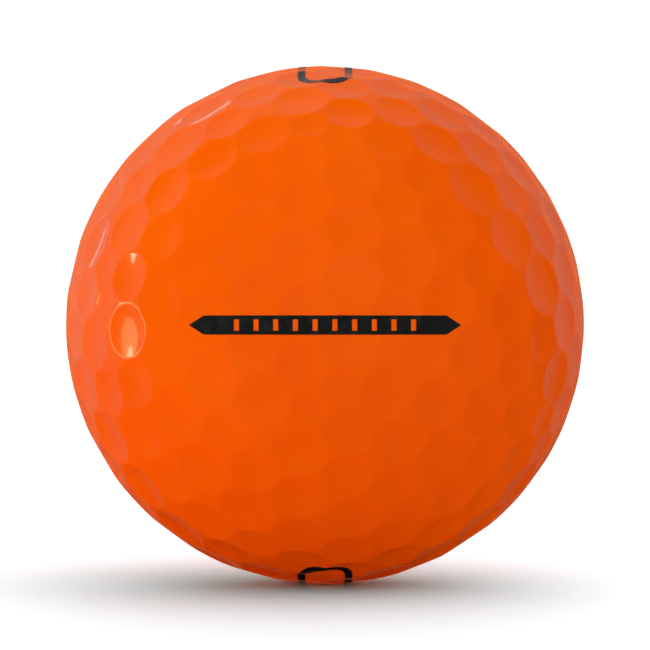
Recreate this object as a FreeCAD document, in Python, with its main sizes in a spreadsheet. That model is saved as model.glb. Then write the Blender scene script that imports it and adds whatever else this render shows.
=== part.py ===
import FreeCAD
import Part
import Sketcher
import itertools
import math
import os

# Two-piece golf ball, in millimetres.
# Frame: origin at the centre of the ball, +Z through the two printed poles,
# and the printed side mark on the equator at -Y.

# ---------------------------------------------------------------- driving dimensions

DIMENSIONS = {
    "ball_diameter": 42.7,
    "core_diameter": 39.6,
    "dimple_depth_ratio": 0.033,       # depth below the rim, as a share of the dimple's diameter
    "ink_thickness": 0.03,
    "side_half_length": 10.45,
    "side_shoulder": 9.3,              # where the side mark's pointed ends begin
    "side_half_height": 0.73,
    "tick_half_width": 0.2,
    "tick_half_height": 0.44,
    "tick_reach": 6.75,                # the outer ticks' distance from the middle of the mark
    "tick_count": 10,
    "pole_arc_offset": 6.7,            # distance of the racetrack's arc centres from the pole
    "pole_arc_radius": 2.2,            # outer radius of the racetrack's arcs
    "pole_stroke": 0.6,
    "numeral_height": 3.6,
    # The dimple pattern's turn on the ball, in degrees: one corner of the octahedron
    # lies at this azimuth and latitude, and the pattern is spun about that corner.
    "corner_azimuth": -53.7,
    "corner_latitude": 12.0,
    "pattern_spin": 36.3,
}

# The 350 dimples repeat with the symmetry of an octahedron, so twelve of them stand for all.
# Each row: angle from the octahedron's corner, bearing about that corner (0 is along an edge
# of the octahedron, 45 towards the middle of a face), and the dimple's diameter.
DIMPLE_FAMILIES = {
    "corner": (0.0, 0.0, 4.0),
    "edge_inner": (11.9, 0.0, 4.6),
    "edge_outer": (40.9, 0.0, 2.95),
    "median_inner": (18.3, 45.0, 4.75),
    "median_middle": (41.0, 45.0, 4.45),
    "face_centre": (54.7356, 45.0, 3.0),
    "median_outer": (64.1, 45.0, 3.8),
    "median_foot": (81.4, 45.0, 3.95),
    "side_inner": (23.1, 13.8, 3.85),
    "side_near": (30.2, 33.0, 4.3),
    "side_far": (34.2, 12.0, 4.3),
    "side_outer": (41.2, 26.9, 4.05),
}

# Outline of the play number "1", as shares of its height.
NUMERAL_OUTLINE = [
    (-0.11, -0.50),
    (0.11, -0.50),
    (0.11, 0.50),
    (-0.05, 0.50),
    (-0.30, 0.33),
    (-0.30, 0.15),
    (-0.11, 0.26),
]

SAME_PLACE = 0.001      # unit vectors closer than this are one dimple
CUTTER_MARGIN = 0.02    # how far a dimple cutter reaches past the dimple's rim
CUTTER_TOP = 0.5        # how far a dimple cutter stands out of the ball
STENCIL_LENGTH = "0.55 * Sheet.ball_diameter"    # from the middle of the ball to clear of it

ORIGIN = FreeCAD.Vector(0, 0, 0)
Y_AXIS = FreeCAD.Vector(0, 1, 0)
Z_AXIS = FreeCAD.Vector(0, 0, 1)

# Sketcher's numbers for its own axes and for the points of a line or an arc.
H_AXIS, V_AXIS = -1, -2
START, END, CENTRE = 1, 2, 3


def make_sheet(doc):
    """Spreadsheet that holds every driving dimension under its own alias."""
    sheet = doc.addObject("Spreadsheet::Sheet", "Sheet")
    cells = dict(DIMENSIONS)
    for family, (angle, bearing, diameter) in DIMPLE_FAMILIES.items():
        cells[family + "_angle"] = angle
        cells[family + "_bearing"] = bearing
        cells[family + "_diameter"] = diameter
    for row, (alias, value) in enumerate(cells.items(), start=1):
        sheet.set(f"A{row}", alias)
        sheet.set(f"B{row}", str(value))
        sheet.setAlias(f"B{row}", alias)
    doc.recompute()
    return sheet


# ---------------------------------------------------------------- sketches and bodies

def make_body(doc, name):
    """PartDesign body that carries its own name as its label."""
    body = doc.addObject("PartDesign::Body", name)
    body.Label = name
    return body


def origin_feature(body, role):
    """The body's own origin plane or axis with this role."""
    return next(item for item in body.Origin.OriginFeatures if item.Role == role)


def make_sketch(body, name, plane_role):
    """Empty sketch on one of the body's own origin planes."""
    sketch = body.newObject("Sketcher::SketchObject", name)
    sketch.AttachmentSupport = [(origin_feature(body, plane_role), "")]
    sketch.MapMode = "FlatFace"
    return sketch


def bind(sketch, constraint, expression):
    """Add a constraint whose value follows an expression on the sheet."""
    index = sketch.addConstraint(constraint)
    sketch.setExpression(f"Constraints[{index}]", expression)


def add_outline(sketch, sheet, corners):
    """Closed polygon. Each corner is ((factor, alias), (factor, alias)) for its x and y."""
    points = [
        FreeCAD.Vector(fx * sheet.get(ax), fy * sheet.get(ay), 0)
        for (fx, ax), (fy, ay) in corners
    ]
    sides = [
        sketch.addGeometry(Part.LineSegment(point, points[(i + 1) % len(points)]), False)
        for i, point in enumerate(points)
    ]
    for i, side in enumerate(sides):
        following = sides[(i + 1) % len(sides)]
        sketch.addConstraint(Sketcher.Constraint("Coincident", side, END, following, START))
    for side, point, terms in zip(sides, points, corners):
        for kind, axis, value, (factor, alias) in zip(
            ("DistanceX", "DistanceY"), (V_AXIS, H_AXIS), point, terms
        ):
            if factor == 0:
                sketch.addConstraint(Sketcher.Constraint("PointOnObject", side, START, axis))
            else:
                pin = Sketcher.Constraint(kind, -1, 1, side, START, value)
                bind(sketch, pin, f"{factor} * Sheet.{alias}")


def add_racetrack(sketch, sheet, radius, radius_expression):
    """Closed loop of two straight sides along the sketch's y and two round ends."""
    offset = sheet.get("pole_arc_offset")
    ends = []
    for sign, start in ((1, 0), (-1, math.pi)):
        circle = Part.Circle(FreeCAD.Vector(0, sign * offset, 0), Z_AXIS, radius)
        arc = sketch.addGeometry(Part.ArcOfCircle(circle, start, start + math.pi), False)
        sketch.addConstraint(Sketcher.Constraint("PointOnObject", arc, CENTRE, V_AXIS))
        pin = Sketcher.Constraint("DistanceY", -1, 1, arc, CENTRE, sign * offset)
        bind(sketch, pin, f"{sign} * Sheet.pole_arc_offset")
        bind(sketch, Sketcher.Constraint("Radius", arc, radius), radius_expression)
        ends.append(arc)
    for arc, opposite, x in ((ends[0], ends[1], -radius), (ends[1], ends[0], radius)):
        sign = math.copysign(1, -x)
        tail = FreeCAD.Vector(x, sign * offset, 0)
        head = FreeCAD.Vector(x, -sign * offset, 0)
        side = sketch.addGeometry(Part.LineSegment(tail, head), False)
        sketch.addConstraint(Sketcher.Constraint("Tangent", arc, END, side, START))
        sketch.addConstraint(Sketcher.Constraint("Tangent", side, END, opposite, START))


def pad(body, name, sketch):
    """Straight prism from the middle of the ball to clear of its surface."""
    feature = body.newObject("PartDesign::Pad", name)
    feature.Profile = sketch
    feature.setExpression("Length", STENCIL_LENGTH)
    return feature


def make_core(doc, sheet):
    """Solid rubber core: a half disc turned about Z."""
    body = make_body(doc, "core")
    sketch = make_sketch(body, "core_profile", "XZ_Plane")
    radius = sheet.get("core_diameter") / 2
    circle = Part.Circle(ORIGIN, Z_AXIS, radius)
    arc = sketch.addGeometry(Part.ArcOfCircle(circle, -math.pi / 2, math.pi / 2), False)
    bottom, top = FreeCAD.Vector(0, -radius, 0), FreeCAD.Vector(0, radius, 0)
    diameter = sketch.addGeometry(Part.LineSegment(top, bottom), False)
    sketch.addConstraint(Sketcher.Constraint("Coincident", arc, CENTRE, -1, 1))
    sketch.addConstraint(Sketcher.Constraint("Coincident", arc, END, diameter, START))
    sketch.addConstraint(Sketcher.Constraint("Coincident", diameter, END, arc, START))
    sketch.addConstraint(Sketcher.Constraint("PointOnObject", diameter, START, V_AXIS))
    sketch.addConstraint(Sketcher.Constraint("PointOnObject", diameter, END, V_AXIS))
    bind(sketch, Sketcher.Constraint("Radius", arc, radius), "Sheet.core_diameter / 2")
    turned = body.newObject("PartDesign::Revolution", "core_turned")
    turned.Profile = sketch
    turned.ReferenceAxis = (sketch, ["V_Axis"])
    turned.Angle = 360
    return body


# ---------------------------------------------------------------- dimples

def pattern_direction(angle, bearing):
    """Unit vector in the pattern's frame, whose axes are the octahedron's corners."""
    angle, bearing = math.radians(angle), math.radians(bearing)
    return FreeCAD.Vector(
        math.sin(angle) * math.cos(bearing),
        math.sin(angle) * math.sin(bearing),
        math.cos(angle),
    )


def symmetric_images(direction):
    """Every place that the octahedron's symmetry carries a direction to, each one once."""
    images = []
    for order in itertools.permutations(range(3)):
        for signs in itertools.product((1, -1), repeat=3):
            terms = [sign * direction[axis] for sign, axis in zip(signs, order)]
            image = FreeCAD.Vector(*terms)
            if all(image.distanceToPoint(other) > SAME_PLACE for other in images):
                images.append(image)
    return images


def pattern_rotation(sheet):
    """Rotation from the pattern's frame to the ball's."""
    spin = FreeCAD.Rotation(Z_AXIS, sheet.get("pattern_spin"))
    tilt = FreeCAD.Rotation(Y_AXIS, 90 - sheet.get("corner_latitude"))
    turn = FreeCAD.Rotation(Z_AXIS, sheet.get("corner_azimuth"))
    return turn * tilt * spin


def dimple_cutter(ball_radius, diameter, depth, lift):
    """Cutter for one dimple at +Z: a round plug whose lower end is the dimple's spherical bowl.

    With a lift, the bowl is raised by that much along its own normals, as the top of an
    even film on the dimple is.
    """
    rim = diameter / 2
    rim_height = math.sqrt(ball_radius**2 - rim**2)
    bowl_radius = (rim**2 + depth**2) / (2 * depth)
    bowl_centre = rim_height - depth + bowl_radius
    raised_radius = bowl_radius - lift
    wall = rim + CUTTER_MARGIN
    top = ball_radius + CUTTER_TOP

    def on_bowl(x):
        return FreeCAD.Vector(x, 0, bowl_centre - math.sqrt(raised_radius**2 - x**2))

    lowest, halfway, highest = on_bowl(0), on_bowl(wall / 2), on_bowl(wall)
    wall_top, axis_top = FreeCAD.Vector(wall, 0, top), FreeCAD.Vector(0, 0, top)
    profile = Part.Wire([
        Part.Arc(lowest, halfway, highest).toShape(),
        Part.makeLine(highest, wall_top),
        Part.makeLine(wall_top, axis_top),
        Part.makeLine(axis_top, lowest),
    ])
    return Part.Face(profile).revolve(ORIGIN, Z_AXIS, 360)


def make_dimple_cutters(doc, sheet, name, lift):
    """All the dimple cutters in one compound."""
    ball_radius = sheet.get("ball_diameter") / 2
    rotation = pattern_rotation(sheet)
    cutters = []
    for family in DIMPLE_FAMILIES:
        diameter = sheet.get(family + "_diameter")
        depth = diameter * sheet.get("dimple_depth_ratio")
        cutter = dimple_cutter(ball_radius, diameter, depth, lift)
        first = pattern_direction(sheet.get(family + "_angle"), sheet.get(family + "_bearing"))
        for image in symmetric_images(first):
            turn = FreeCAD.Rotation(Z_AXIS, rotation.multVec(image))
            placed = cutter.copy()
            placed.Placement = FreeCAD.Placement(ORIGIN, turn)
            cutters.append(placed)
    feature = doc.addObject("Part::Feature", name)
    feature.Shape = Part.makeCompound(cutters)
    return feature


# ---------------------------------------------------------------- balls and booleans

def make_ball(doc, name, radius_expression, rotation):
    """Solid ball about the origin whose surface is split into the eight faces of the pattern.

    Each face then carries an eighth of the dimples, which meshes far better than one face
    with hundreds of holes.
    """
    eighths = []
    for quarter, (low, high) in itertools.product(range(4), ((0, 90), (-90, 0))):
        half = "upper" if high else "lower"
        eighth = doc.addObject("Part::Sphere", f"{name}_{half}_{quarter}")
        eighth.setExpression("Radius", radius_expression)
        eighth.Angle1, eighth.Angle2, eighth.Angle3 = low, high, 90
        turn = rotation * FreeCAD.Rotation(Z_AXIS, 90 * quarter)
        eighth.Placement = FreeCAD.Placement(ORIGIN, turn)
        eighths.append(eighth)
    ball = doc.addObject("Part::MultiFuse", name)
    ball.Label = name
    ball.Shapes = eighths
    ball.Refine = False
    return ball


def combine(doc, kind, name, base, tool):
    """Part::Cut or Part::Common of two objects."""
    result = doc.addObject("Part::" + kind, name)
    result.Label = name
    result.Base = base
    result.Tool = tool
    result.Refine = False
    return result


# ---------------------------------------------------------------- printed marks

def make_side_stencil(doc, sheet):
    """Prism of the alignment mark: a bar with pointed ends and a row of open ticks."""
    body = make_body(doc, "side_stencil")
    bar = make_sketch(body, "side_bar", "XZ_Plane")
    half_height = "side_half_height"
    add_outline(bar, sheet, [
        ((-1, "side_half_length"), (0, half_height)),
        ((-1, "side_shoulder"), (-1, half_height)),
        ((1, "side_shoulder"), (-1, half_height)),
        ((1, "side_half_length"), (0, half_height)),
        ((1, "side_shoulder"), (1, half_height)),
        ((-1, "side_shoulder"), (1, half_height)),
    ])
    pad(body, "side_bar_pad", bar)
    tick = make_sketch(body, "side_tick", "XZ_Plane")
    add_tick(tick, sheet)
    pocket = body.newObject("PartDesign::Pocket", "side_tick_pocket")
    pocket.Profile = tick
    pocket.Reversed = True
    pocket.setExpression("Length", STENCIL_LENGTH)
    ticks = body.newObject("PartDesign::LinearPattern", "side_ticks")
    ticks.Originals = [pocket]
    ticks.Direction = (tick, ["H_Axis"])
    ticks.setExpression("Length", "2 * Sheet.tick_reach")
    ticks.setExpression("Occurrences", "Sheet.tick_count")
    body.Tip = ticks
    return body


def add_tick(sketch, sheet):
    """Rectangle of the first tick, at the left end of the row."""
    reach, half_width = sheet.get("tick_reach"), sheet.get("tick_half_width")
    half_height = sheet.get("tick_half_height")
    left, right = -reach - half_width, -reach + half_width
    corners = [(left, -half_height), (right, -half_height), (right, half_height), (left, half_height)]
    points = [FreeCAD.Vector(x, y, 0) for x, y in corners]
    for i, point in enumerate(points):
        sketch.addGeometry(Part.LineSegment(point, points[(i + 1) % 4]), False)
        sketch.addConstraint(Sketcher.Constraint("Horizontal" if i % 2 == 0 else "Vertical", i))
    for i in range(4):
        sketch.addConstraint(Sketcher.Constraint("Coincident", i, END, (i + 1) % 4, START))
    left_pin = Sketcher.Constraint("DistanceX", -1, 1, 0, START, left)
    right_pin = Sketcher.Constraint("DistanceX", -1, 1, 0, END, right)
    low_pin = Sketcher.Constraint("DistanceY", -1, 1, 0, START, -half_height)
    high_pin = Sketcher.Constraint("DistanceY", -1, 1, 2, START, half_height)
    bind(sketch, left_pin, "-Sheet.tick_reach - Sheet.tick_half_width")
    bind(sketch, right_pin, "-Sheet.tick_reach + Sheet.tick_half_width")
    bind(sketch, low_pin, "-Sheet.tick_half_height")
    bind(sketch, high_pin, "Sheet.tick_half_height")


def make_pole_stencil(doc, sheet, name):
    """Prism of the racetrack outline that is printed round a pole."""
    body = make_body(doc, name)
    sketch = make_sketch(body, name + "_outline", "XY_Plane")
    outer = sheet.get("pole_arc_radius")
    inner = outer - sheet.get("pole_stroke")
    add_racetrack(sketch, sheet, outer, "Sheet.pole_arc_radius")
    add_racetrack(sketch, sheet, inner, "Sheet.pole_arc_radius - Sheet.pole_stroke")
    pad(body, name + "_pad", sketch)
    return body


def make_numeral_stencil(doc, sheet, name):
    """Prism of the play number."""
    body = make_body(doc, name)
    sketch = make_sketch(body, name + "_outline", "XY_Plane")
    corners = [((x, "numeral_height"), (y, "numeral_height")) for x, y in NUMERAL_OUTLINE]
    add_outline(sketch, sheet, corners)
    pad(body, name + "_pad", sketch)
    return body


def print_mark(doc, name, stencil, ink_ball, dimpled_ball):
    """Film of ink: what lies inside the stencil, on the ball and under the ink's own surface."""
    block = combine(doc, "Common", name + "_block", stencil, ink_ball)
    return combine(doc, "Cut", name, block, dimpled_ball)


# ---------------------------------------------------------------- the whole ball

def build_ball(doc):
    """Make every sub-part and give them back by node name."""
    sheet = make_sheet(doc)
    core = make_core(doc, sheet)

    turned = pattern_rotation(sheet)
    cutters = make_dimple_cutters(doc, sheet, "dimple_cutters", 0)
    blank = make_ball(doc, "ball_blank", "Sheet.ball_diameter / 2", turned)
    dimpled_ball = combine(doc, "Cut", "dimpled_ball", blank, cutters)
    core_space = doc.addObject("Part::Sphere", "core_space")
    core_space.setExpression("Radius", "Sheet.core_diameter / 2")
    cover = combine(doc, "Cut", "cover", dimpled_ball, core_space)

    ink_cutters = make_dimple_cutters(doc, sheet, "ink_cutters", sheet.get("ink_thickness"))
    ink_radius = "Sheet.ball_diameter / 2 + Sheet.ink_thickness"
    ink_blank = make_ball(doc, "ink_blank", ink_radius, turned)
    ink_ball = combine(doc, "Cut", "ink_ball", ink_blank, ink_cutters)

    sub_parts = {"core": core, "cover": cover}
    side_stencil = make_side_stencil(doc, sheet)
    sub_parts["side_mark"] = print_mark(doc, "side_mark", side_stencil, ink_ball, dimpled_ball)
    for end, half_turn in (("top", 0), ("bottom", 180)):
        placement = FreeCAD.Placement(ORIGIN, FreeCAD.Rotation(Y_AXIS, half_turn))
        outline = make_pole_stencil(doc, sheet, f"pole_stencil_{end}")
        numeral = make_numeral_stencil(doc, sheet, f"numeral_stencil_{end}")
        for node, stencil in (("pole_mark", outline), ("play_number", numeral)):
            stencil.Placement = placement
            name = f"{node}_{end}"
            sub_parts[name] = print_mark(doc, name, stencil, ink_ball, dimpled_ball)
    doc.recompute()
    return sub_parts


def check(doc, sub_parts):
    """Stop if an object failed to compute or a sub-part isn't a sound shape."""
    for item in doc.Objects:
        if "Invalid" in item.State or "Error" in item.State:
            raise RuntimeError(f"{item.Name} failed: {item.State}")
    for node, item in sub_parts.items():
        if item.Shape.isNull() or not item.Shape.isValid():
            raise RuntimeError(f"{node} has no sound shape")


def main():
    doc = FreeCAD.newDocument("golf_ball")
    sub_parts = build_ball(doc)
    check(doc, sub_parts)
    os.makedirs("parts", exist_ok=True)
    for node, item in sub_parts.items():
        item.Shape.exportStep(os.path.join("parts", node + ".step"))
        box = item.Shape.BoundBox
        print(node, len(item.Shape.Solids), "solids", round(item.Shape.Volume, 3), "mm3",
              round(box.XMin, 2), round(box.XMax, 2), round(box.YMin, 2), round(box.YMax, 2),
              round(box.ZMin, 2), round(box.ZMax, 2))


main()
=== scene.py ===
import bpy
import itertools
import math
import numpy as np
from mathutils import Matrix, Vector
from mathutils.geometry import delaunay_2d_cdt


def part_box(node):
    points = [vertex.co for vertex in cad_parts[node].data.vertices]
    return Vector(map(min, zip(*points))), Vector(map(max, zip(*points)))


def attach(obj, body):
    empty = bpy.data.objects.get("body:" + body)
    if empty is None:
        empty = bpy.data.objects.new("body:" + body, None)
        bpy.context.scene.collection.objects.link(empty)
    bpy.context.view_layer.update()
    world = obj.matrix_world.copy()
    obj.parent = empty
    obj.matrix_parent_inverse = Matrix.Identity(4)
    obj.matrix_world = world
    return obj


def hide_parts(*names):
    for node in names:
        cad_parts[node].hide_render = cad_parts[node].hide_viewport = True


# Golf ball standing on a pale floor. Everything is in metres, with the ball's centre at the
# origin, +Z up through the printed poles, and the printed side mark facing -Y, towards the
# camera. The cover and the films of ink are built here, and the core is the frame's own solid.

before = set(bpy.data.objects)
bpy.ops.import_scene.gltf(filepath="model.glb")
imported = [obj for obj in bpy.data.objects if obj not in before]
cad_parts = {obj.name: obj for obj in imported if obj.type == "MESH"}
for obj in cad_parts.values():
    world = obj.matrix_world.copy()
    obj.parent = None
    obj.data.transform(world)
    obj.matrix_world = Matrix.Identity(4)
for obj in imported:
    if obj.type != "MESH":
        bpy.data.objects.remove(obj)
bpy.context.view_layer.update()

MM = 0.001

# ---------------------------------------------------------------- the ball's dimensions

BALL_RADIUS = 21.35 * MM
CORE_RADIUS = 19.8 * MM
DEPTH_RATIO = 0.033         # depth of a dimple below its rim, as a share of its diameter
ROUNDING = 0.14 * MM        # half the width of the rounded rim of a dimple
CORNER_AZIMUTH = -53.7      # where one corner of the octahedral pattern lies, in degrees
CORNER_LATITUDE = 12.0
PATTERN_SPIN = 36.3         # the pattern's turn about that corner

# The 350 dimples repeat with the symmetry of an octahedron, so twelve stand for all.
# Each row: angle from the octahedron's corner, bearing about it (0 is along an edge of the
# octahedron, 45 towards the middle of a face), and the dimple's diameter in millimetres.
DIMPLE_FAMILIES = [
    (0.0, 0.0, 4.0),
    (11.9, 0.0, 4.6),
    (40.9, 0.0, 2.95),
    (18.3, 45.0, 4.75),
    (41.0, 45.0, 4.45),
    (54.7356, 45.0, 3.0),
    (64.1, 45.0, 3.8),
    (81.4, 45.0, 3.95),
    (23.1, 13.8, 3.85),
    (30.2, 33.0, 4.3),
    (34.2, 12.0, 4.3),
    (41.2, 26.9, 4.05),
]
SAME_PLACE = 0.001          # unit vectors closer than this are one dimple

# Ink: a film that stands INK_LIFT proud of the surface and is let INK_SINK into it.
INK_LIFT = 0.03 * MM
INK_SINK = 0.005 * MM

# Side mark: a bar with pointed ends and a row of open ticks.
SIDE_HALF_LENGTH = 10.45 * MM
SIDE_SHOULDER = 9.3 * MM    # from the middle to where a pointed end begins
SIDE_HALF_HEIGHT = 0.73 * MM
TICK_COUNT = 10
TICK_REACH = 6.75 * MM      # from the middle to the last tick
TICK_HALF_WIDTH = 0.2 * MM
TICK_HALF_HEIGHT = 0.44 * MM

# Pole marks: a racetrack round a play number.
POLE_ARC_OFFSET = 6.7 * MM  # from the pole to the centre of an end's half circle
POLE_ARC_RADIUS = 2.2 * MM
POLE_STROKE = 0.6 * MM
NUMERAL_HEIGHT = 3.6 * MM
NUMERAL_OUTLINE = [         # the numeral 1, one unit high
    (-0.11, -0.50),
    (0.11, -0.50),
    (0.11, 0.50),
    (-0.05, 0.50),
    (-0.30, 0.33),
    (-0.30, 0.15),
    (-0.11, 0.26),
]

# Where each flat mark is printed. The columns are its x, its y and its outward direction.
SIDE_PLACE = np.array([(1, 0, 0), (0, 0, -1), (0, 1, 0)], float)
TOP_PLACE = np.eye(3)
BOTTOM_PLACE = np.diag([-1.0, 1.0, -1.0])

# ---------------------------------------------------------------- mesh resolution

SEGMENTS = 36                               # points round a dimple
BOWL_RINGS = (0.38, 0.72)                   # rings inside a bowl, as shares of its rim
RIM_RINGS = (-1.0, -0.5, 0.0, 0.5, 1.0)     # rings over a rounded rim, as shares of ROUNDING
GAP_SHARE = 0.3             # a ring stays within this share of the gap to the next dimple
LAND_SPACING = 0.6 * MM     # between the points that fill the land
LAND_CLEARANCE = 0.28 * MM  # of those points from a dimple's rim
HOLLOW_ROWS = 48            # of the round hollow, from pole to pole
HOLLOW_COLUMNS = 96
INK_GRID = 0.14 * MM        # spacing of a film's points
PROJECT_STEPS = 4           # rounds of finding where a mark's points meet the ball
CHUNK = 4096                # directions handled at once
TINY = 1e-12                # keeps a division by a length from failing at zero

# For delaunay_2d_cdt: fill the convex hull, and how close points count as one.
FILL_HULL = 0
LAND_TOLERANCE = 1e-9       # on the stereographic map of the unit sphere
MARK_TOLERANCE = 1e-6       # in millimetres

# ---------------------------------------------------------------- looks of the pieces

# Colours in linear light. In each piece a noise blends the first two, and the third is specks.
COVER_DEEP = (0.70, 0.067, 0.0)
COVER_BRIGHT = (0.73, 0.077, 0.0)
COVER_FLECK = (0.76, 0.10, 0.0)
INK_DEEP = (0.004, 0.004, 0.005)
INK_THIN = (0.012, 0.012, 0.013)
RUBBER_DARK = (0.03, 0.07, 0.075)
RUBBER_LIGHT = (0.05, 0.10, 0.10)
RUBBER_SPECK = (0.35, 0.38, 0.36)

# Sizes of the grain in each procedural texture, and the height of the bumps made from it.
PIGMENT_GRAIN = 9 * MM
FLECK_GRAIN = 0.25 * MM
SKIN_GRAIN = 0.12 * MM
PEEL_GRAIN = 1.3 * MM       # orange peel in the clear coat
MOTTLE_GRAIN = 0.35 * MM    # of the print
CLOUD_GRAIN = 6 * MM        # of the rubber
SPECK_GRAIN = 0.5 * MM
SKIN_HEIGHT = 0.001 * MM
PEEL_HEIGHT = 0.004 * MM
MOTTLE_HEIGHT = 0.002 * MM
SPECK_HEIGHT = 0.02 * MM

NOISE_LOW, NOISE_HIGH = 0.3, 0.7    # most of a noise's values lie between these
FLECK_FROM, FLECK_TO = 0.62, 0.78   # noise at which a fleck begins, and is at its fullest
FLECK_AMOUNT = 0.35
SPECK_FROM, SPECK_TO = 0.66, 0.74
SPECK_AMOUNT = 0.8

COVER_ROUGHNESS = (0.42, 0.52)
INK_ROUGHNESS = (0.35, 0.5)
RUBBER_ROUGHNESS = (0.55, 0.75)
COAT_IOR = 1.45
COVER_COAT_ROUGHNESS = 0.09
INK_COAT_ROUGHNESS = 0.05
SCATTER_WEIGHT = 0.15
SCATTER_SCALE = 0.8 * MM
SCATTER_RADIUS = (1.0, 0.3, 0.08)   # red light goes furthest through the cover

# ---------------------------------------------------------------- studio

CAMERA_DISTANCE = 12 * BALL_RADIUS
BALL_SHARE = 0.3985         # the ball's apparent radius as a share of the picture's width
SENSOR_WIDTH = 36.0         # in millimetres, as the lens is
CLIP_START, CLIP_END = 0.01, 20

# The floor is over-exposed paper, so its colours are above 1. Close to the ball it has a painted
# shadow, darker and cooler, which deepens the shade under the ball and makes up for the orange
# that the ball throws on it.
FLOOR_RADIUS = 4.0
FLOOR_SIDES = 96
FLOOR_WHITE = (1.66, 1.74, 1.79)
FLOOR_FIBRE = (1.63, 1.71, 1.76)
FIBRE_GRAIN = 2 * MM
FLOOR_PAINTED_SHADE = (0.45, 1.12, 1.2)
PAINTED_SHADE_CENTRE = (-0.12 * BALL_RADIUS, 0, -BALL_RADIUS)
PAINTED_SHADE_REACH = 1.2 * BALL_RADIUS

BACKDROP = 1.2              # how bright the surroundings look to the camera, where 1 is white

# Soft light from all round, by direction: SKY_BASE + SKY_TILT . direction
# + SKY_ENDS * |y|**4 + SKY_BEHIND * max(y, 0)**8 + SKY_DOME * |z|**2.
SKY_BASE = 0.265
SKY_TILT = (0.17, -0.12, 0)
SKY_ENDS = 1.8
SKY_BEHIND = 4.0
SKY_DOME = 0.28

# What the clear coat mirrors, by direction, where 1 is white. It changes from MIRRORED_FRONT
# to full where y is SHADE_START to SHADE_END beyond a slanting edge. The edge lies further
# back with height, by SHADE_RISE * |z|, and to the right, by SHADE_RIGHT * max(x, 0). The
# second of these fades out as z goes from SHADE_LOW to SHADE_HIGH.
MIRRORED_FRONT = 0.02
MIRRORED_LEFT, MIRRORED_RIGHT = 0.4, 0.26
MIRRORED_TOP = 0.65         # straight up, as a share of the level at the horizon
MIRROR_LOW, MIRROR_HIGH = -0.45, 0.05       # below the first of these z nothing is mirrored
SHADE_START, SHADE_END = -0.15, 0.2
SHADE_RISE = 0.32
SHADE_RIGHT = 0.7
SHADE_LOW, SHADE_HIGH = -0.1, 0.35

# At a glancing angle, at the ball's outline, the coat mirrors nothing but what is right
# behind the ball. It is warm there, so that the outline keeps the ball's own colour:
# GLANCE_COLOUR * (GLANCE_LEVEL + GLANCE_TILT . direction), full from y = GLANCE_END on.
GLANCE_COLOUR = (0.95, 0.2, 0.06)
GLANCE_LEVEL = 0.8
GLANCE_TILT = (-0.2, 0, 2.0)
GLANCE_START, GLANCE_END = 0.8, 0.97

# Soft lights for the ball alone, which leave the floor and the gloss as they are. They differ
# in colour because the orange turns from red to yellow towards the light.
# Each row: name, azimuth, elevation, side of the square, radiance, colour.
FILL_DISTANCE = 0.6
KEY_YELLOW = (0.62, 1.25, 0.62)
FILL_YELLOW = (0.62, 1.0, 0.62)
FILL_WHITE = (1.0, 0.95, 0.9)
FILL_RED = (1.0, 0.5, 0.5)
FILLS = [
    ("key", 38, 33, 0.2, 10.0, KEY_YELLOW),
    ("fill_side", 87, 17, 0.4, 1.8, FILL_WHITE),
    ("fill_top", 0, 78, 0.4, 1.8, FILL_YELLOW),
    ("fill_back", 150, 60, 0.4, 2.8, FILL_WHITE),
    ("fill_low", 120, -62, 0.4, 4.0, FILL_RED),
]

# Small lights that the clear coat mirrors in single dimples: a lamp in its shade, and two
# slits. Each row: name, azimuth, elevation, width, height, radiance, shape, colour.
GLINT_DISTANCE = 0.5
WHITE = (1.0, 1.0, 1.0)
LAMP_YELLOW = (1.0, 1.0, 0.65)
SHADE_YELLOW = (1.0, 1.0, 0.4)
GLINTS = [
    ("lamp", 97, 6, 0.035, 0.05, 6.5, "ELLIPSE", LAMP_YELLOW),
    ("lamp_shade", 95.5, 0.5, 0.12, 0.11, 1.8, "ELLIPSE", SHADE_YELLOW),
    ("window_back", 161, 29, 0.08, 0.012, 1.6, "RECTANGLE", WHITE),
    ("window_side", 141, 14, 0.01, 0.06, 2.5, "RECTANGLE", WHITE),
]


# ---------------------------------------------------------------- dimple pattern

def rotation_about(axis, degrees):
    """3x3 rotation matrix about one coordinate axis."""
    angle = math.radians(degrees)
    c, s = math.cos(angle), math.sin(angle)
    i, j = [(1, 2), (2, 0), (0, 1)][axis]
    matrix = np.eye(3)
    matrix[i, i], matrix[i, j] = c, -s
    matrix[j, i], matrix[j, j] = s, c
    return matrix


def symmetric_images(direction):
    """Every place that the octahedron's symmetry carries a direction to, each one once."""
    images = []
    for order in itertools.permutations(range(3)):
        for signs in itertools.product((1, -1), repeat=3):
            image = np.array([sign * direction[axis] for sign, axis in zip(signs, order)])
            if all(np.linalg.norm(image - other) > SAME_PLACE for other in images):
                images.append(image)
    return images


def dimple_pattern():
    """Unit vectors to the dimples' centres, and their diameters in metres."""
    centres, diameters = [], []
    for angle, bearing, diameter in DIMPLE_FAMILIES:
        angle, bearing = math.radians(angle), math.radians(bearing)
        first = (
            math.sin(angle) * math.cos(bearing),
            math.sin(angle) * math.sin(bearing),
            math.cos(angle),
        )
        for image in symmetric_images(first):
            centres.append(image)
            diameters.append(diameter * MM)
    turn = (
        rotation_about(2, CORNER_AZIMUTH)
        @ rotation_about(1, 90 - CORNER_LATITUDE)
        @ rotation_about(2, PATTERN_SPIN)
    )
    return np.array(centres) @ turn.T, np.array(diameters)


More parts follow.
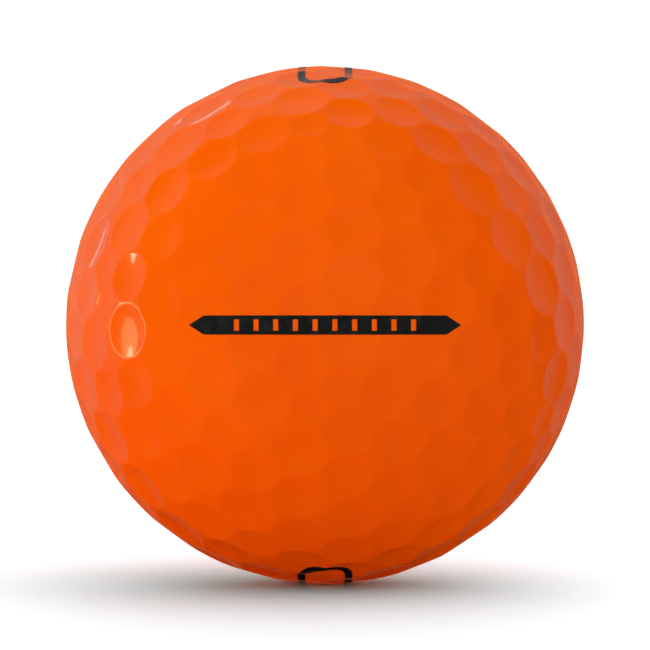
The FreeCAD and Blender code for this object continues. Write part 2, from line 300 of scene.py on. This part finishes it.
CENTRES, DIAMETERS = dimple_pattern()
RIM_RADIUS = DIAMETERS / 2
DEPTH = DIAMETERS * DEPTH_RATIO
BOWL_RADIUS = (RIM_RADIUS**2 + DEPTH**2) / (2 * DEPTH)
BOWL_CENTRE = np.sqrt(BALL_RADIUS**2 - RIM_RADIUS**2) - DEPTH + BOWL_RADIUS
RIM_ANGLE = np.arcsin(RIM_RADIUS / BALL_RADIUS)
RIM_SLOPE = np.tan(np.arcsin(RIM_RADIUS / BOWL_RADIUS) + RIM_ANGLE)
BLEND = ROUNDING * RIM_SLOPE        # drop over which a rim turns from land into bowl


# ---------------------------------------------------------------- the ball's surface

def bowl_drop(angle, i):
    """How far dimple i's bowl lies below the ball at this angle from its axis, and the slope."""
    c, rho = BOWL_CENTRE[i], BOWL_RADIUS[i]
    sine, cosine = np.sin(angle), np.cos(angle)
    root = np.sqrt(rho**2 - (c * sine) ** 2)
    drop = BALL_RADIUS - (c * cosine - root)
    slope = c * sine - c**2 * sine * cosine / root
    return drop, slope


def surface(directions):
    """Radius of the dimpled ball in each direction, and its unit normal there.

    Over a rounded rim the drop follows a parabola, which leaves the land without a slope and
    meets the bowl at the bowl's own slope.
    """
    radius = np.full(len(directions), BALL_RADIUS)
    tilt = np.zeros((len(directions), 3))
    reach = np.cos(RIM_ANGLE + ROUNDING / BALL_RADIUS)
    for start in range(0, len(directions), CHUNK):
        block = directions[start:start + CHUNK]
        cosines = block @ CENTRES.T
        point, dimple = np.nonzero(cosines > reach)
        angle = np.arccos(np.clip(cosines[point, dimple], -1, 1))
        drop, slope = bowl_drop(angle, dimple)
        blend = BLEND[dimple]
        eased = np.clip((drop + blend) / (2 * blend), 0, 1)
        lowered = np.where(drop < blend, blend * eased**2, drop)
        away = block[point] * np.cos(angle)[:, None] - CENTRES[dimple]
        away /= np.maximum(np.linalg.norm(away, axis=1), TINY)[:, None]
        np.subtract.at(radius, start + point, lowered)
        np.add.at(tilt, start + point, away * (eased * slope)[:, None])
    normals = directions + tilt / radius[:, None]
    normals /= np.linalg.norm(normals, axis=1)[:, None]
    return radius, normals


def tangents(direction):
    """Two unit vectors square to a direction and to each other."""
    helper = np.eye(3)[np.argmin(np.abs(direction))]
    first = np.cross(direction, helper)
    first /= np.linalg.norm(first)
    return first, np.cross(direction, first)


def ring_directions(i):
    """Directions of dimple i's rings from the inside out, as an array (rings, SEGMENTS, 3).

    Outside the rim a ring comes closer to it where the next dimple is near.
    """
    first, second = tangents(CENTRES[i])
    turn = np.arange(SEGMENTS) * 2 * math.pi / SEGMENTS
    outward = np.outer(np.cos(turn), first) + np.outer(np.sin(turn), second)

    def at(angles):
        return CENTRES[i] * np.cos(angles)[:, None] + outward * np.sin(angles)[:, None]

    rim_angle = np.full(SEGMENTS, RIM_ANGLE[i])
    gaps = np.arccos(np.clip(at(rim_angle) @ CENTRES.T, -1, 1)) - RIM_ANGLE
    gaps[:, i] = math.inf
    room = GAP_SHARE * gaps.min(axis=1)
    rings = [at(share * rim_angle) for share in BOWL_RINGS]
    for share in RIM_RINGS:
        offset = np.full(SEGMENTS, share * ROUNDING / BALL_RADIUS)
        if share > 0:
            offset = np.minimum(offset, share * room)
        rings.append(at(rim_angle + offset))
    return np.array(rings)


def fibonacci_directions(spacing):
    """Evenly spread unit vectors, about spacing apart on the ball."""
    count = int(4 * math.pi * BALL_RADIUS**2 / spacing**2)
    k = np.arange(count) + 0.5
    z = 1 - 2 * k / count
    azimuth = k * math.pi * (3 - math.sqrt(5))
    flat = np.sqrt(1 - z**2)
    return np.stack([flat * np.cos(azimuth), flat * np.sin(azimuth), z], axis=1)


def land_directions():
    """Extra points on the land, clear of every dimple."""
    candidates = fibonacci_directions(LAND_SPACING)
    limit = np.cos(RIM_ANGLE + LAND_CLEARANCE / BALL_RADIUS)
    keep = np.concatenate([
        (candidates[start:start + CHUNK] @ CENTRES.T < limit).all(axis=1)
        for start in range(0, len(candidates), CHUNK)
    ])
    return candidates[keep]


def stereographic(directions, pole):
    """Flat map of the sphere as seen from a pole, which itself goes to infinity."""
    first, second = tangents(pole)
    height = 1 - directions @ pole
    return np.stack([directions @ first / height, directions @ second / height], axis=1)


def triangulate_land(loops, extra):
    """Triangles between the dimples' outer loops, through the extra points.

    loops has the shape (dimples, SEGMENTS, 3). A triangle's numbers count the loops' points
    in order and then the extra ones. The map's pole is the first dimple's centre, so that
    its loop is the outer edge of the map.
    """
    directions = np.concatenate([loops.reshape(-1, 3), extra])
    points = [Vector(point) for point in stereographic(directions, CENTRES[0]).tolist()]
    edges = [
        (i * SEGMENTS + k, i * SEGMENTS + (k + 1) % SEGMENTS)
        for i in range(len(loops))
        for k in range(SEGMENTS)
    ]
    filled = delaunay_2d_cdt(points, edges, [], FILL_HULL, LAND_TOLERANCE, True)
    triangles, origins = filled[2], filled[3]
    own = [group[0] for group in origins]
    on_loops = len(loops) * SEGMENTS
    land = []
    for triangle in triangles:
        corners = [own[v] for v in triangle]
        # An extra point counts as a loop of its own, with a negative number.
        loops_met = {v // SEGMENTS if v < on_loops else -v for v in corners}
        if len(loops_met) == 1:
            continue            # the triangle lies inside a dimple
        a, b, c = directions[corners]
        if np.dot(np.cross(b - a, c - a), a) < 0:
            corners.reverse()
        land.append(tuple(corners))
    return land


def dimple_faces(base, ring_count):
    """Faces of the dimple whose points start at base: a fan at its centre, then its rings."""
    faces = []
    for k in range(SEGMENTS):
        following = (k + 1) % SEGMENTS
        faces.append((base, base + 1 + k, base + 1 + following))
        for ring in range(ring_count - 1):
            inner = base + 1 + ring * SEGMENTS
            outer = inner + SEGMENTS
            faces.append((inner + k, outer + k, outer + following, inner + following))
    return faces


def cover_mesh():
    """Directions, and the faces that join them: every dimple's rings, and the land."""
    rings = np.array([ring_directions(i) for i in range(len(CENTRES))])
    ring_count = rings.shape[1]
    per_dimple = 1 + ring_count * SEGMENTS
    bases = [i * per_dimple for i in range(len(CENTRES))]
    directions = np.concatenate([
        np.vstack([centre, own.reshape(-1, 3)]) for centre, own in zip(CENTRES, rings)
    ])
    faces = [face for base in bases for face in dimple_faces(base, ring_count)]
    extra = land_directions()
    to_outer_ring = 1 + (ring_count - 1) * SEGMENTS
    number = [base + to_outer_ring + k for base in bases for k in range(SEGMENTS)]
    number += [len(directions) + j for j in range(len(extra))]
    for triangle in triangulate_land(rings[:, -1], extra):
        faces.append(tuple(number[v] for v in triangle))
    return np.concatenate([directions, extra]), faces


# ---------------------------------------------------------------- mesh objects

def make_object(name, points, faces, loop_normals):
    """Smooth mesh object with a given normal at every corner of every face."""
    mesh = bpy.data.meshes.new(name)
    mesh.from_pydata(points.tolist(), [], faces)
    mesh.shade_smooth()
    mesh.normals_split_custom_set(loop_normals)
    mesh.validate()
    made = bpy.data.objects.new(name, mesh)
    bpy.context.scene.collection.objects.link(made)
    return made


def round_sphere(rows, columns):
    """Directions and faces of a plain sphere."""
    directions = [(0.0, 0.0, 1.0)]
    for row in range(1, rows):
        polar = math.pi * row / rows
        for column in range(columns):
            azimuth = 2 * math.pi * column / columns
            directions.append((
                math.sin(polar) * math.cos(azimuth),
                math.sin(polar) * math.sin(azimuth),
                math.cos(polar),
            ))
    directions.append((0.0, 0.0, -1.0))
    last = len(directions) - 1
    last_row = 1 + (rows - 2) * columns
    faces = []
    for column in range(columns):
        following = (column + 1) % columns
        faces.append((0, 1 + column, 1 + following))
        for row in range(rows - 2):
            upper = 1 + row * columns
            lower = upper + columns
            faces.append((upper + column, lower + column, lower + following, upper + following))
        faces.append((last_row + column, last, last_row + following))
    return np.array(directions), faces


def make_cover():
    """The dimpled shell: its outer surface, and the round hollow that the core fills."""
    directions, faces = cover_mesh()
    radius, normals = surface(directions)
    outer = directions * radius[:, None]
    hollow_directions, hollow_faces = round_sphere(HOLLOW_ROWS, HOLLOW_COLUMNS)
    points = np.concatenate([outer, hollow_directions * CORE_RADIUS])
    point_normals = np.concatenate([normals, -hollow_directions])
    faces += [tuple(v + len(outer) for v in reversed(face)) for face in hollow_faces]
    corners = [v for face in faces for v in face]
    return make_object("cover_shell", points, faces, point_normals[corners].tolist())


# ---------------------------------------------------------------- printed marks

def divided(corners, spacing):
    """Closed outline with points added so that none are further apart than spacing."""
    points = []
    for (ax, ay), (bx, by) in zip(corners, corners[1:] + corners[:1]):
        count = max(1, math.ceil(math.hypot(bx - ax, by - ay) / spacing))
        points += [(ax + (bx - ax) * k / count, ay + (by - ay) * k / count) for k in range(count)]
    return points


def racetrack(radius):
    """Outline of two straight sides along y, joined by half circles."""
    count = math.ceil(math.pi * radius / INK_GRID)
    points = []
    for sign, start in ((1, 0), (-1, math.pi)):
        for k in range(count + 1):
            angle = start + math.pi * k / count
            points.append((
                radius * math.cos(angle),
                sign * POLE_ARC_OFFSET + radius * math.sin(angle),
            ))
    return points


def side_mark_outlines():
    """Bar with pointed ends, and the open ticks in it."""
    bar = [
        (-SIDE_HALF_LENGTH, 0),
        (-SIDE_SHOULDER, -SIDE_HALF_HEIGHT),
        (SIDE_SHOULDER, -SIDE_HALF_HEIGHT),
        (SIDE_HALF_LENGTH, 0),
        (SIDE_SHOULDER, SIDE_HALF_HEIGHT),
        (-SIDE_SHOULDER, SIDE_HALF_HEIGHT),
    ]
    outlines = [bar]
    for k in range(TICK_COUNT):
        middle = TICK_REACH * (2 * k / (TICK_COUNT - 1) - 1)
        left, right = middle - TICK_HALF_WIDTH, middle + TICK_HALF_WIDTH
        outlines.append([
            (left, -TICK_HALF_HEIGHT),
            (right, -TICK_HALF_HEIGHT),
            (right, TICK_HALF_HEIGHT),
            (left, TICK_HALF_HEIGHT),
        ])
    return outlines


def pole_mark_outlines():
    """Outer and inner edge of the racetrack."""
    return [racetrack(POLE_ARC_RADIUS), racetrack(POLE_ARC_RADIUS - POLE_STROKE)]


def numeral_outlines():
    """The play number."""
    return [[(x * NUMERAL_HEIGHT, y * NUMERAL_HEIGHT) for x, y in NUMERAL_OUTLINE]]


def inside(points, outlines):
    """Which points lie inside the outlines, by the even-odd rule."""
    x, y = points[:, 0], points[:, 1]
    crossings = np.zeros(len(points), int)
    for outline in outlines:
        for (ax, ay), (bx, by) in zip(outline, outline[1:] + outline[:1]):
            if ay == by:
                continue
            spans = (y >= min(ay, by)) & (y < max(ay, by))
            crossings += spans & (x < ax + (y - ay) * (bx - ax) / (by - ay))
    return crossings % 2 == 1


def triangulate_outlines(outlines):
    """Points and triangles that fill the outlines, with a grid of inner points."""
    loops = [divided(outline, INK_GRID) for outline in outlines]
    points, edges = [], []
    for loop in loops:
        base = len(points)
        points += loop
        edges += [(base + k, base + (k + 1) % len(loop)) for k in range(len(loop))]
    on_edges = np.array(points)
    low, high = on_edges.min(axis=0), on_edges.max(axis=0)
    grid = np.stack(np.meshgrid(
        np.arange(low[0], high[0], INK_GRID),
        np.arange(low[1], high[1], INK_GRID),
    ), axis=-1).reshape(-1, 2)
    grid = grid[inside(grid, loops)]
    clear = [np.hypot(*(on_edges - point).T).min() > INK_GRID / 2 for point in grid]
    every_point = points + grid[clear].tolist()
    scaled = [Vector((x / MM, y / MM)) for x, y in every_point]
    filled = delaunay_2d_cdt(scaled, edges, [], FILL_HULL, MARK_TOLERANCE, True)
    flat = np.array([tuple(point) for point in filled[0]]) * MM
    triangles = np.array(filled[2])
    return flat, triangles[inside(flat[triangles].mean(axis=1), loops)]


def project(flat, place, lift):
    """Points of a flat mark carried straight onto the ball, and the ball's normals there."""
    reach = np.full(len(flat), BALL_RADIUS)
    for _ in range(PROJECT_STEPS):
        height = np.sqrt(reach**2 - (flat**2).sum(axis=1))
        points = np.column_stack([flat, height]) @ place.T
        directions = points / np.linalg.norm(points, axis=1)[:, None]
        radius, normals = surface(directions)
        reach = radius + lift
    return points, normals


def outer_sides(triangles):
    """Sides that belong to one triangle only, in its own direction of turn."""
    sides = [
        side
        for triangle in triangles
        for side in zip(triangle, triangle[1:] + triangle[:1])
    ]
    known = set(sides)
    return [(a, b) for a, b in sides if (b, a) not in known]


def make_film(name, outlines, place):
    """Closed film of ink on the ball in the shape of the outlines."""
    flat, triangles = triangulate_outlines(outlines)
    top, top_normals = project(flat, place, INK_LIFT)
    bottom, _ = project(flat, place, -INK_SINK)
    points = np.concatenate([top, bottom])
    count = len(flat)
    upper = [tuple(triangle) for triangle in triangles.tolist()]
    lower = [tuple(v + count for v in reversed(triangle)) for triangle in upper]
    walls = [(a + count, b + count, b, a) for a, b in outer_sides(upper)]
    loop_normals = [top_normals[v] for face in upper for v in face]
    loop_normals += [-top_normals[v - count] for face in lower for v in face]
    for face in walls:
        a, b, _, d = points[list(face)]
        outward = np.cross(b - a, d - a)
        loop_normals += [outward / np.linalg.norm(outward)] * len(face)
    return make_object(name, points, upper + lower + walls, np.array(loop_normals).tolist())


# ---------------------------------------------------------------- shader nodes

def new_material(name):
    """Empty node material, its node tree and its Principled shader."""
    material = bpy.data.materials.new(name)
    material.use_nodes = True
    tree = material.node_tree
    return material, tree, tree.nodes["Principled BSDF"]


def feed(tree, value, socket):
    """Give a socket its value, which is another socket, a number or a colour."""
    if isinstance(value, bpy.types.NodeSocket):
        tree.links.new(value, socket)
    elif isinstance(value, tuple):
        socket.default_value = (*value, 1.0)
    else:
        socket.default_value = value


def noise(tree, grain, detail):
    """Noise in the object's own coordinates. grain is the size of its features."""
    place = tree.nodes.new("ShaderNodeTexCoord")
    texture = tree.nodes.new("ShaderNodeTexNoise")
    texture.inputs["Scale"].default_value = 1 / grain
    texture.inputs["Detail"].default_value = detail
    tree.links.new(place.outputs["Object"], texture.inputs["Vector"])
    return texture.outputs["Fac"]


def remap(tree, value, low, high, new_low, new_high):
    """Straight-line change of a value's range, held to its ends."""
    node = tree.nodes.new("ShaderNodeMapRange")
    node.inputs["From Min"].default_value = low
    node.inputs["From Max"].default_value = high
    node.inputs["To Min"].default_value = new_low
    node.inputs["To Max"].default_value = new_high
    tree.links.new(value, node.inputs["Value"])
    return node.outputs["Result"]


def spread(tree, value, new_low, new_high):
    """A noise's usual values carried to a new range."""
    return remap(tree, value, NOISE_LOW, NOISE_HIGH, new_low, new_high)


def calculate(tree, operation, *values):
    """Result of a sum on one or two sockets or numbers."""
    node = tree.nodes.new("ShaderNodeMath")
    node.operation = operation
    for value, socket in zip(values, node.inputs):
        feed(tree, value, socket)
    return node.outputs["Value"]


def product(tree, *factors):
    """Several sockets or numbers multiplied together."""
    total = factors[0]
    for factor in factors[1:]:
        total = calculate(tree, "MULTIPLY", total, factor)
    return total


def lean(tree, direction, slope, level):
    """Level that changes steadily with direction."""
    node = tree.nodes.new("ShaderNodeVectorMath")
    node.operation = "DOT_PRODUCT"
    tree.links.new(direction, node.inputs[0])
    node.inputs[1].default_value = slope
    return calculate(tree, "ADD", node.outputs["Value"], level)


def blend_colours(tree, factor, first, second):
    """Colour between two others. Each may be a socket or a colour."""
    node = tree.nodes.new("ShaderNodeMix")
    node.data_type = "RGBA"
    tree.links.new(factor, node.inputs["Factor"])
    for name, colour in (("A", first), ("B", second)):
        feed(tree, colour, next(s for s in node.inputs if s.name == name and s.type == "RGBA"))
    return next(s for s in node.outputs if s.type == "RGBA")


def bump(tree, height, distance, strength):
    """Normal of a surface with the bumps of a height field."""
    node = tree.nodes.new("ShaderNodeBump")
    node.inputs["Distance"].default_value = distance
    node.inputs["Strength"].default_value = strength
    tree.links.new(height, node.inputs["Height"])
    return node.outputs["Normal"]


# ---------------------------------------------------------------- materials

def add_clear_coat(tree, shader, roughness):
    """Clear lacquer with a little orange peel over a material."""
    peel = noise(tree, PEEL_GRAIN, detail=2)
    feed(tree, bump(tree, peel, PEEL_HEIGHT, strength=1.0), shader.inputs["Coat Normal"])
    shader.inputs["Coat Weight"].default_value = 1.0
    shader.inputs["Coat Roughness"].default_value = roughness
    shader.inputs["Coat IOR"].default_value = COAT_IOR


def cover_material():
    """Orange ionomer under a clear coat, with pigment clouds, flecks and a fine skin."""
    material, tree, shader = new_material("orange_ionomer")
    pigment = noise(tree, PIGMENT_GRAIN, detail=3)
    flecks = noise(tree, FLECK_GRAIN, detail=2)
    skin = noise(tree, SKIN_GRAIN, detail=2)
    body = blend_colours(tree, spread(tree, pigment, 0, 1), COVER_DEEP, COVER_BRIGHT)
    fleck_mix = remap(tree, flecks, FLECK_FROM, FLECK_TO, 0, FLECK_AMOUNT)
    feed(tree, blend_colours(tree, fleck_mix, body, COVER_FLECK), shader.inputs["Base Color"])
    feed(tree, spread(tree, flecks, *COVER_ROUGHNESS), shader.inputs["Roughness"])
    feed(tree, bump(tree, skin, SKIN_HEIGHT, strength=0.5), shader.inputs["Normal"])
    shader.inputs["Specular IOR Level"].default_value = 0.0     # all the gloss is the coat's
    shader.inputs["Subsurface Weight"].default_value = SCATTER_WEIGHT
    shader.inputs["Subsurface Radius"].default_value = SCATTER_RADIUS
    shader.inputs["Subsurface Scale"].default_value = SCATTER_SCALE
    add_clear_coat(tree, shader, COVER_COAT_ROUGHNESS)
    return material


def ink_material():
    """Black pad-printed ink under the same clear coat."""
    material, tree, shader = new_material("black_ink")
    mottle = noise(tree, MOTTLE_GRAIN, detail=3)
    colour = blend_colours(tree, spread(tree, mottle, 0, 1), INK_DEEP, INK_THIN)
    feed(tree, colour, shader.inputs["Base Color"])
    feed(tree, spread(tree, mottle, *INK_ROUGHNESS), shader.inputs["Roughness"])
    feed(tree, bump(tree, mottle, MOTTLE_HEIGHT, strength=0.6), shader.inputs["Normal"])
    add_clear_coat(tree, shader, INK_COAT_ROUGHNESS)
    return material


def core_material():
    """Moulded rubber with pale filler specks."""
    material, tree, shader = new_material("core_rubber")
    clouds = noise(tree, CLOUD_GRAIN, detail=4)
    specks = noise(tree, SPECK_GRAIN, detail=2)
    body = blend_colours(tree, spread(tree, clouds, 0, 1), RUBBER_DARK, RUBBER_LIGHT)
    speck_mix = remap(tree, specks, SPECK_FROM, SPECK_TO, 0, SPECK_AMOUNT)
    feed(tree, blend_colours(tree, speck_mix, body, RUBBER_SPECK), shader.inputs["Base Color"])
    feed(tree, spread(tree, clouds, *RUBBER_ROUGHNESS), shader.inputs["Roughness"])
    feed(tree, bump(tree, specks, SPECK_HEIGHT, strength=0.5), shader.inputs["Normal"])
    return material


def floor_material():
    """Matt white paper, with a painted shadow close to the ball that makes it darker and cooler.
    """
    material, tree, principled = new_material("floor_paper")
    tree.nodes.remove(principled)
    shader = tree.nodes.new("ShaderNodeBsdfDiffuse")
    tree.links.new(shader.outputs["BSDF"], tree.nodes["Material Output"].inputs["Surface"])
    fibre = noise(tree, FIBRE_GRAIN, detail=4)
    paper = blend_colours(tree, spread(tree, fibre, 0, 1), FLOOR_WHITE, FLOOR_FIBRE)
    # Painted shadow: the paper turns darker and cooler towards a point under the ball, fading
    # with distance from it.
    place = tree.nodes.new("ShaderNodeTexCoord")
    distance = tree.nodes.new("ShaderNodeVectorMath")
    distance.operation = "DISTANCE"
    tree.links.new(place.outputs["Object"], distance.inputs[0])
    distance.inputs[1].default_value = PAINTED_SHADE_CENTRE
    ratio = calculate(tree, "DIVIDE", distance.outputs["Value"], PAINTED_SHADE_REACH)
    near = calculate(tree, "EXPONENT", product(tree, ratio, ratio, -1.0))
    feed(tree, blend_colours(tree, near, paper, FLOOR_PAINTED_SHADE), shader.inputs["Color"])
    return material


# ---------------------------------------------------------------- floor, lights and camera

def make_floor():
    """Wide round floor under the ball."""
    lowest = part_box("cover")[0][2]
    points = [(0.0, 0.0, lowest)]
    for k in range(FLOOR_SIDES):
        angle = 2 * math.pi * k / FLOOR_SIDES
        points.append((FLOOR_RADIUS * math.cos(angle), FLOOR_RADIUS * math.sin(angle), lowest))
    faces = [(0, 1 + k, 1 + (k + 1) % FLOOR_SIDES) for k in range(FLOOR_SIDES)]
    mesh = bpy.data.meshes.new("floor")
    mesh.from_pydata(points, [], faces)
    mesh.materials.append(floor_material())
    floor = bpy.data.objects.new("floor", mesh)
    bpy.context.scene.collection.objects.link(floor)
    floor.visible_glossy = False


def aim_at_ball(item):
    """Turn a camera or a light to face the ball's centre."""
    item.rotation_euler = (-item.location).to_track_quat("-Z", "Y").to_euler()


def make_light(name, azimuth, elevation, distance, width, height, radiance, shape, colour):
    """Flat light that faces the ball, and that the camera doesn't see.

    azimuth is measured from the camera's side, clockwise as seen from above, so that 90 is
    to the left of the picture. radiance is how bright a rectangle's face is, where 1 is
    white. An ellipse sends out as much from less of a face, so its face is brighter.
    """
    data = bpy.data.lights.new(name, "AREA")
    data.shape = shape
    data.color = colour
    data.size, data.size_y = width, height
    data.energy = radiance * math.pi * width * height
    light = bpy.data.objects.new(name, data)
    around, up = math.radians(azimuth), math.radians(elevation)
    light.location = distance * Vector((
        -math.sin(around) * math.cos(up),
        -math.cos(around) * math.cos(up),
        math.sin(up),
    ))
    bpy.context.scene.collection.objects.link(light)
    aim_at_ball(light)
    light.visible_camera = False
    return light


def make_fill(name, azimuth, elevation, size, radiance, colour, pieces):
    """Soft square light that reaches only the given pieces, and that nothing mirrors."""
    light = make_light(
        name, azimuth, elevation, FILL_DISTANCE, size, size, radiance, "RECTANGLE", colour
    )
    light.visible_glossy = False
    lit = bpy.data.collections.new(f"{name}_lit")
    for piece in pieces:
        lit.objects.link(piece)
    light.light_linking.receiver_collection = lit
    light.light_linking.blocker_collection = lit


def mirrored_level(tree, x, y, z):
    """How bright the clear coat's surroundings are: dark in front and lighter behind."""
    rise = product(tree, calculate(tree, "ABSOLUTE", z), SHADE_RISE)
    rightward = calculate(tree, "MAXIMUM", x, 0.0)
    lead = product(tree, remap(tree, z, SHADE_LOW, SHADE_HIGH, SHADE_RIGHT, 0), rightward)
    beyond = calculate(tree, "SUBTRACT", calculate(tree, "SUBTRACT", y, rise), lead)
    return product(
        tree,
        remap(tree, beyond, SHADE_START, SHADE_END, MIRRORED_FRONT, 1),
        remap(tree, x, -1, 1, MIRRORED_LEFT, MIRRORED_RIGHT),
        remap(tree, z, MIRROR_LOW, MIRROR_HIGH, 0, 1),
        remap(tree, z, 0, 1, 1, MIRRORED_TOP),
    )


def mirrored_colour(tree, direction, x, y, z):
    """What the clear coat mirrors: grey surroundings, and a warm colour right behind."""
    glance_level = lean(tree, direction, GLANCE_TILT, GLANCE_LEVEL)
    warm = blend_colours(tree, glance_level, (0, 0, 0), GLANCE_COLOUR)
    glancing = remap(tree, y, GLANCE_START, GLANCE_END, 0, 1)
    return blend_colours(tree, glancing, mirrored_level(tree, x, y, z), warm)


def sky_level(tree, direction, y, z):
    """How much soft light comes from each direction."""
    sky = lean(tree, direction, SKY_TILT, SKY_BASE)
    for part, power, strength in (
        (calculate(tree, "ABSOLUTE", y), 4.0, SKY_ENDS),
        (calculate(tree, "MAXIMUM", y, 0.0), 8.0, SKY_BEHIND),
        (calculate(tree, "ABSOLUTE", z), 2.0, SKY_DOME),
    ):
        lobe = product(tree, calculate(tree, "POWER", part, power), strength)
        sky = calculate(tree, "ADD", sky, lobe)
    return sky


def make_world():
    """Surroundings: plain to the camera, a mirrored room to the gloss, and soft light from
    all round to everything else.
    """
    world = bpy.data.worlds.new("studio")
    world.use_nodes = True
    world.cycles.sampling_method = "NONE"       # the soft light is even enough without it
    tree = world.node_tree
    ray = tree.nodes.new("ShaderNodeLightPath").outputs
    direction = tree.nodes.new("ShaderNodeTexCoord").outputs["Generated"]
    parts = tree.nodes.new("ShaderNodeSeparateXYZ")
    tree.links.new(direction, parts.inputs["Vector"])
    x, y, z = parts.outputs
    sky = sky_level(tree, direction, y, z)
    plain = blend_colours(tree, ray["Is Camera Ray"], sky, (BACKDROP,) * 3)
    mirrored = mirrored_colour(tree, direction, x, y, z)
    seen = blend_colours(tree, ray["Is Glossy Ray"], plain, mirrored)
    background = tree.nodes["Background"]
    tree.links.new(seen, background.inputs["Color"])
    background.inputs["Strength"].default_value = 1.0
    bpy.context.scene.world = world


def make_camera():
    """Long lens, level with the middle of the ball, looking along +Y."""
    data = bpy.data.cameras.new("camera")
    camera = bpy.data.objects.new("camera", data)
    camera.location = (0, -CAMERA_DISTANCE, 0)
    aim_at_ball(camera)
    spread_of_ball = math.tan(math.asin(BALL_RADIUS / CAMERA_DISTANCE))
    data.sensor_width = SENSOR_WIDTH
    data.lens = SENSOR_WIDTH * BALL_SHARE / spread_of_ball
    data.clip_start, data.clip_end = CLIP_START, CLIP_END
    bpy.context.scene.collection.objects.link(camera)
    bpy.context.scene.camera = camera


# ---------------------------------------------------------------- the scene

cover = make_cover()
cover.data.materials.append(cover_material())
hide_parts("cover")
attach(cover, "root")

pieces = [cover]
ink = ink_material()
MARKS = [
    ("side_mark", side_mark_outlines(), SIDE_PLACE),
    ("pole_mark_top", pole_mark_outlines(), TOP_PLACE),
    ("play_number_top", numeral_outlines(), TOP_PLACE),
    ("pole_mark_bottom", pole_mark_outlines(), BOTTOM_PLACE),
    ("play_number_bottom", numeral_outlines(), BOTTOM_PLACE),
]
for node, outlines, place in MARKS:
    film = make_film(f"{node}_film", outlines, place)
    film.data.materials.append(ink)
    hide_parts(node)
    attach(film, "root")
    pieces.append(film)

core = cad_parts["core"]
rubber = core_material()
for material_slot in core.material_slots:
    material_slot.material = rubber

make_floor()
make_world()
for name, azimuth, elevation, size, radiance, colour in FILLS:
    make_fill(name, azimuth, elevation, size, radiance, colour, pieces)
for name, azimuth, elevation, width, height, radiance, shape, colour in GLINTS:
    make_light(name, azimuth, elevation, GLINT_DISTANCE, width, height, radiance, shape, colour)
make_camera()
bpy.context.scene.view_settings.view_transform = "Standard"
